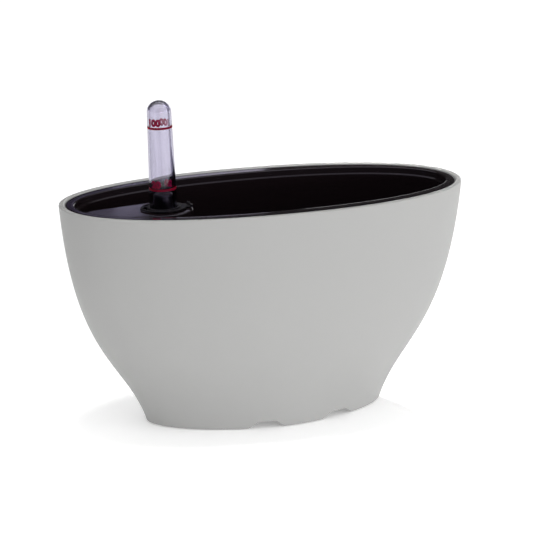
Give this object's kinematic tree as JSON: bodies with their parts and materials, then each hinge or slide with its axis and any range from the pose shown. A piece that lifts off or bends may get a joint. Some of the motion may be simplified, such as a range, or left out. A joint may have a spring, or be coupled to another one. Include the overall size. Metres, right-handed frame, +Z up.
{
  "type": "self-watering planter",
  "caption": "Oval self-watering planter: outer pot with a water reservoir, lift-out liner with soil wells, and a pull-out float indicator in a clear tube.",
  "frame": {"origin": "on the ground, under the middle of the pot", "axes": "+X along the pot's long axis, away from the indicator's end; +Z up"},
  "size_m": [0.2948, 0.143, 0.2305],
  "materials": {
    "pot_grey": "satin moulded",
    "gloss_black": "gloss moulded",
    "clear_tube": "clear moulded plastic",
    "float_foam": "closed-cell foam",
    "seal_rubber": "matte"
  },
  "bodies": {
    "pot": {"outer_pot": "pot_grey"},
    "liner": {"inner_liner": "gloss_black"},
    "indicator": {"indicator_tube": "clear_tube", "indicator_collar": "gloss_black", "float_guide": "gloss_black", "guide_cap": "gloss_black"},
    "float": {"float_body": "float_foam", "float_stem": "gloss_black", "float_clip": "gloss_black", "float_head": "gloss_black"},
    "drain_plug": {"drain_plug": "gloss_black", "plug_seal": "seal_rubber"}
  },
  "joints": [
    {"name": "liner_lift", "type": "slide", "parent": "pot", "child": "liner", "axis": [0, 0, 1], "range_m": [0, 0.155]},
    {"name": "indicator_pull", "type": "slide", "parent": "liner", "child": "indicator", "axis": [-0.0349, 0, 0.9994], "range_m": [0, 0.15]},
    {"name": "float_rise", "type": "slide", "parent": "indicator", "child": "float", "axis": [-0.0349, 0, 0.9994], "range_m": [0, 0.05]},
    {"name": "drain_plug_pull", "type": "slide", "parent": "pot", "child": "drain_plug", "axis": [0, 0, 1], "range_m": [0, 0.012]}
  ]
}
